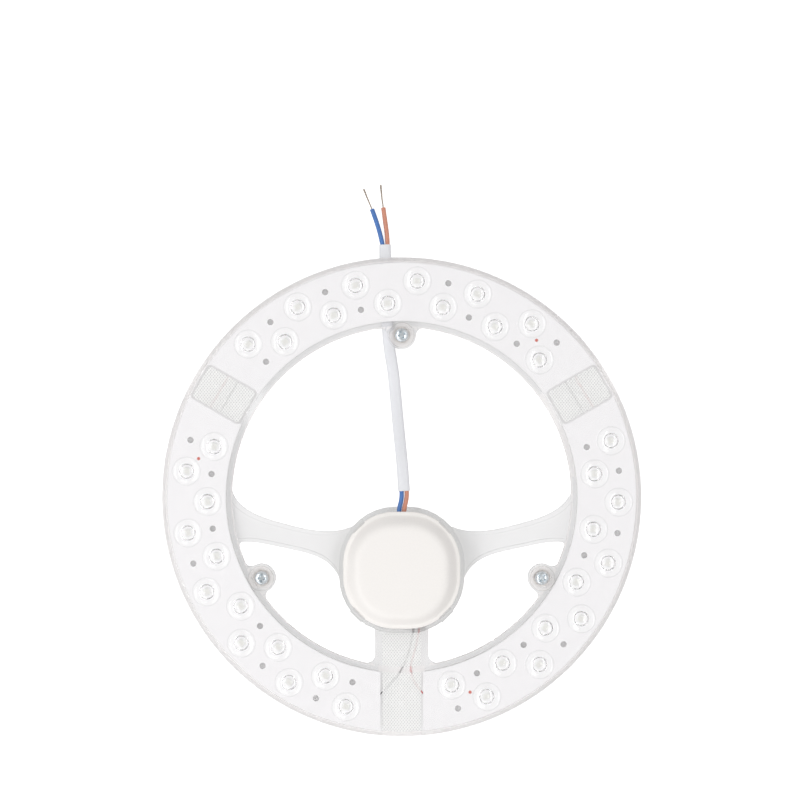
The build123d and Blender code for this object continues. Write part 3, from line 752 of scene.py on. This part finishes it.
# The mains lead: two insulated cores in a flat white sheath. It leaves the hub by its notch, falls
# to the floor and passes under the ring at the top; the sheath and cores are stripped at the end.
sheath_w = 5.4
sheath_t = 3.4
core_w = 2.1
sheath_route = [
    (1.1, 2.8, 10.4), (0.3, 15, 9.2), (-1.3, 30, 4.6), (-2.6, 44, 1.75), (-3.9, 58, 1.75),
    (-6.2, 70.5, 1.75), (-7.3, 94.5, 1.75), (-7.7, 116, 1.75),
]
core_routes = {
    "core_blue_hub": [(-1.8, -16.5, 10.25), (-1.5, -6.1, 10.9), (0.15, -0.325, 10.7), (-0.05, 2.725, 10.4)],
    "core_brown_hub": [(0.5, -16.5, 10.25), (0.8, -6.1, 10.9), (2.45, -0.175, 10.7), (2.25, 2.875, 10.4)],
    "core_blue_end": [(-8.85, 115.973, 1.75), (-9.6, 119.6, 1.75), (-11.5, 126.4, 1.4), (-13.7, 132.4, 1.1)],
    "core_brown_end": [
        (-6.55, 116.027, 1.75), (-6.636, 119.726, 1.75), (-7.6, 126.6, 1.4), (-8.5, 133.1, 1.1)
    ],
}


def oval(width, height, square, sides=36):
    """A closed section of a lead: an oval whose sides are flatter the more square it is."""
    curve = bpy.data.curves.new("section", "CURVE")
    spline = curve.splines.new("POLY")
    spline.points.add(sides - 1)
    for step, point in enumerate(spline.points):
        c, s = cos(2 * pi * step / sides), sin(2 * pi * step / sides)
        x = width / 2 * abs(c) ** (2 / square) * (1 if c >= 0 else -1)
        y = height / 2 * abs(s) ** (2 / square) * (1 if s >= 0 else -1)
        point.co = (x, y, 0, 1)
    spline.use_cyclic_u = True
    section = bpy.data.objects.new("section", curve)
    bpy.context.scene.collection.objects.link(section)
    return section


def route_curve(name, route):
    """The smooth line of a lead, drawn by its route's points."""
    curve = bpy.data.curves.new(name, "CURVE")
    curve.dimensions = "3D"
    curve.twist_mode = "Z_UP"
    curve.resolution_u = 12
    spline = curve.splines.new("NURBS")
    spline.points.add(len(route) - 1)
    for point, spot in zip(spline.points, route):
        point.co = (*[value * mm for value in spot], 1)
    spline.order_u = 3
    spline.use_endpoint_u = True
    lead = bpy.data.objects.new(name, curve)
    bpy.context.scene.collection.objects.link(lead)
    return lead


def route_line(route):
    """Points along the smooth line of a route."""
    guide = route_curve("guide", route)
    bpy.context.view_layer.update()
    mesh = bpy.data.meshes.new_from_object(guide)
    points = [vertex.co.copy() for vertex in mesh.vertices]
    bpy.data.meshes.remove(mesh)
    bpy.data.objects.remove(guide)
    return points


def drawn_lead(name, route, width, height, square=2.0):
    """A lead with its section drawn along its route, as a closed mesh."""
    lead = route_curve(name, route)
    section = oval(width * mm, height * mm, square)
    lead.data.bevel_mode = "OBJECT"
    lead.data.bevel_object = section
    lead.data.use_fill_caps = True
    hold(lead)
    bpy.ops.object.convert(target="MESH")
    bpy.data.objects.remove(section)
    lead = bpy.context.object
    bpy.ops.object.mode_set(mode="EDIT")
    bpy.ops.mesh.select_all(action="SELECT")
    bpy.ops.mesh.remove_doubles(threshold=1e-6)
    bpy.ops.mesh.normals_make_consistent(inside=False)
    bpy.ops.object.mode_set(mode="OBJECT")
    return finish_mesh(lead, name, 50)


core_finishes = {
    "blue": speckled("core_blue", (0.075, 0.2, 0.53), 0.36, scale=700, spread=0.06),
    "brown": speckled("core_brown", (0.67, 0.285, 0.19), 0.36, scale=700, spread=0.06),
}
sheath_white = speckled("sheath_white", (0.85, 0.855, 0.885), 0.48, scale=500, spread=0.012)
sheath_line = route_line(sheath_route)
sheath = drawn_lead("lead_sheath", sheath_route, sheath_w, sheath_t, square=2.6)
sheath.data.materials.append(sheath_white)
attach(sheath, "root")
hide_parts("cable_sheath")
for node, route in core_routes.items():
    colour = node.split("_")[1]
    core = drawn_lead(node + "_tube", route, core_w, core_w)
    core.data.materials.append(core_finishes[colour])
    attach(core, "root")
    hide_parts(node)

# Stripped conductor ends: seven fine tinned copper strands laid in a loose twist, which open a
# little at the tip.
strand_r = 0.12 * mm
strand_count = 7
strand_turns = 1.6
strand_lay = 0.22
strand_spread = 0.16
strand_routes = {
    "blue": [(-13.3, 131.5, 1.12), (-13.7, 132.4, 1.1), (-15.8, 137.3, 0.85), (-17.6, 141.9, 0.62)],
    "brown": [(-8.4, 132.2, 1.12), (-8.5, 133.1, 1.1), (-9.3, 138.6, 0.85), (-9.7, 143.8, 0.62)],
}
tinned_copper = speckled("tinned_copper", (0.5, 0.43, 0.37), 0.35, scale=2000, spread=0.1, metal=1.0)
for colour, route in strand_routes.items():
    line = route_line(route)
    middle_strand = strand_count - 1
    curve = bpy.data.curves.new("strands", "CURVE")
    curve.dimensions = "3D"
    curve.bevel_depth = strand_r
    curve.bevel_resolution = 2
    curve.resolution_u = 2
    curve.use_fill_caps = True
    for strand in range(strand_count):
        spline = curve.splines.new("NURBS")
        spline.points.add(len(line) - 1)
        for step, (point, spot) in enumerate(zip(spline.points, line)):
            share = step / (len(line) - 1)
            turn = 2 * pi * (strand / middle_strand + strand_turns * share)
            reach = 0 if strand == middle_strand else (strand_lay + strand_spread * share ** 3) * mm
            point.co = (spot.x + reach * cos(turn), spot.y, spot.z + reach * sin(turn), 1)
        spline.order_u = 3
        spline.use_endpoint_u = True
    strands = bpy.data.objects.new("bare_strands_" + colour, curve)
    bpy.context.scene.collection.objects.link(strands)
    hold(strands)
    bpy.ops.object.convert(target="MESH")
    bpy.ops.object.mode_set(mode="EDIT")
    bpy.ops.mesh.select_all(action="SELECT")
    bpy.ops.mesh.remove_doubles(threshold=1e-7)
    bpy.ops.mesh.normals_make_consistent(inside=False)
    strands = finish_mesh(bpy.context.object, "bare_strands_" + colour, 60)
    strands.data.materials.append(tinned_copper)
    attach(strands, "root")
    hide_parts("strands_" + colour)

# Thin leads behind the boards: a red and a black one cross each side window and join two boards,
# and another pair runs from the driver down the bottom spoke. They are soldered at both ends.
lead_w = 0.7
lead_t = 0.62
link_z = 5.75
link_radii = {"red": 96.5, "black": 91.5}
link_steps = (-12.8, -6.0, 0.0, 6.0, 12.8)
driver_lead_routes = {
    "red": [(9, -45.5, 7.65), (8.6, -63.1, 7.3), (1.3, -84.3, 5.62), (14.4, -94, 5.75)],
    "black": [(6.4, -45.5, 7.65), (6, -63.1, 7.3), (-1.3, -84.3, 5.62), (-14.4, -94, 5.75)],
}
lead_finishes = {
    "red": speckled("lead_red", (0.5, 0.03, 0.025), 0.4, scale=700, spread=0.06),
    "black": speckled("lead_black", (0.02, 0.02, 0.022), 0.4, scale=700, spread=0.1),
}
for side, heading in window_headings.items():
    across = Matrix.Rotation(radians(heading), 3, "Z")
    for colour, radius in link_radii.items():
        route = [across @ Vector((radius, step, link_z)) for step in link_steps]
        link = drawn_lead(f"link_{colour}_{side}", route, lead_w, lead_t)
        link.data.materials.append(lead_finishes[colour])
        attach(link, "root")
        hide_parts(f"link_lead_{colour}_{side}")
for colour, route in driver_lead_routes.items():
    feed = drawn_lead("driver_feed_" + colour, route, lead_w, lead_t)
    feed.data.materials.append(lead_finishes[colour])
    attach(feed, "root")
    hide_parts("driver_lead_" + colour)

# The studio: a wide pale table, soft light from both sides, a little more from the lower left, and
# a camera straight above, over the middle of the picture.
table_size = 6
table_lift = 0.85
table_seen_through = 0.32
bpy.ops.object.select_all(action="DESELECT")
bpy.ops.mesh.primitive_plane_add(size=table_size, location=(0, 0, 0))
table = bpy.context.object
table.name = "table"
table_white = bpy.data.materials.new("table_white")
table_white.use_nodes = True
nodes, links = table_white.node_tree.nodes, table_white.node_tree.links
paint = nodes["Principled BSDF"]
paint.inputs["Base Color"].default_value = (0.68, 0.68, 0.68, 1)
paint.inputs["Roughness"].default_value = 0.9
paint.inputs["Specular IOR Level"].default_value = 0.1
paint.inputs["Emission Color"].default_value = (1, 1, 1, 1)
rays = nodes.new("ShaderNodeLightPath")
mirrored = math_node(nodes, "MAXIMUM")
links.new(rays.outputs["Is Glossy Ray"], mirrored.inputs[0])
links.new(rays.outputs["Is Transmission Ray"], mirrored.inputs[1])
through = math_node(nodes, "MULTIPLY")
through.inputs[1].default_value = table_seen_through
links.new(mirrored.outputs["Value"], through.inputs[0])
either = math_node(nodes, "MAXIMUM")
links.new(rays.outputs["Is Camera Ray"], either.inputs[0])
links.new(through.outputs["Value"], either.inputs[1])
lift = math_node(nodes, "MULTIPLY")
lift.inputs[1].default_value = table_lift
links.new(either.outputs["Value"], lift.inputs[0])
links.new(lift.outputs["Value"], paint.inputs["Emission Strength"])
table.data.materials.append(table_white)

world = bpy.data.worlds.new("studio")
bpy.context.scene.world = world
world.use_nodes = True
nodes, links = world.node_tree.nodes, world.node_tree.links
air = nodes["Background"]
air.inputs["Color"].default_value = (1, 1, 1, 1)
rays = nodes.new("ShaderNodeLightPath")
around = nodes.new("ShaderNodeTexCoord")
parts = nodes.new("ShaderNodeSeparateXYZ")
links.new(around.outputs["Generated"], parts.inputs["Vector"])
sideways = math_node(nodes, "ABSOLUTE")
links.new(parts.outputs["X"], sideways.inputs[0])
tent = nodes.new("ShaderNodeMapRange")
tent.interpolation_type = "SMOOTHSTEP"
tent.inputs["From Min"].default_value = 0.1
tent.inputs["From Max"].default_value = 0.42
tent.inputs["To Min"].default_value = 0.42
tent.inputs["To Max"].default_value = 0.74
links.new(sideways.outputs["Value"], tent.inputs["Value"])
level = nodes.new("ShaderNodeMix")
links.new(rays.outputs["Is Camera Ray"], level.inputs["Factor"])
links.new(tent.outputs["Result"], level.inputs["A"])
level.inputs["B"].default_value = 1.0
links.new(level.outputs["Result"], air.inputs["Strength"])

lamps = {
    "right_strip": ((0.42, 0.0, 1.14), 0.16, 0.9, 1.7),
    "left_strip": ((-0.66, 0.0, 1.0), 0.3, 1.1, 3.1),
    "low_front": ((-0.5, -1.2, 0.6), 0.8, 0.8, 3.5),
}
for name, (spot, width, length, power) in lamps.items():
    light = bpy.data.lights.new(name, "AREA")
    light.shape = "RECTANGLE"
    light.size = length
    light.size_y = width
    light.energy = power
    lamp = bpy.data.objects.new(name, light)
    lamp.location = spot
    lamp.rotation_euler = Vector(spot).to_track_quat("Z", "Y").to_euler()
    bpy.context.scene.collection.objects.link(lamp)

view_half = 0.1837
sensor_w = 36
camera_spot = (-0.00079, 0.04444, 1.005)
camera_data = bpy.data.cameras.new("camera")
camera_data.sensor_width = sensor_w
camera_data.lens = sensor_w / (2 * view_half)
camera_data.clip_end = 20
camera = bpy.data.objects.new("camera", camera_data)
camera.location = camera_spot
bpy.context.scene.collection.objects.link(camera)
bpy.context.scene.camera = camera
bpy.context.scene.view_settings.view_transform = "Standard"
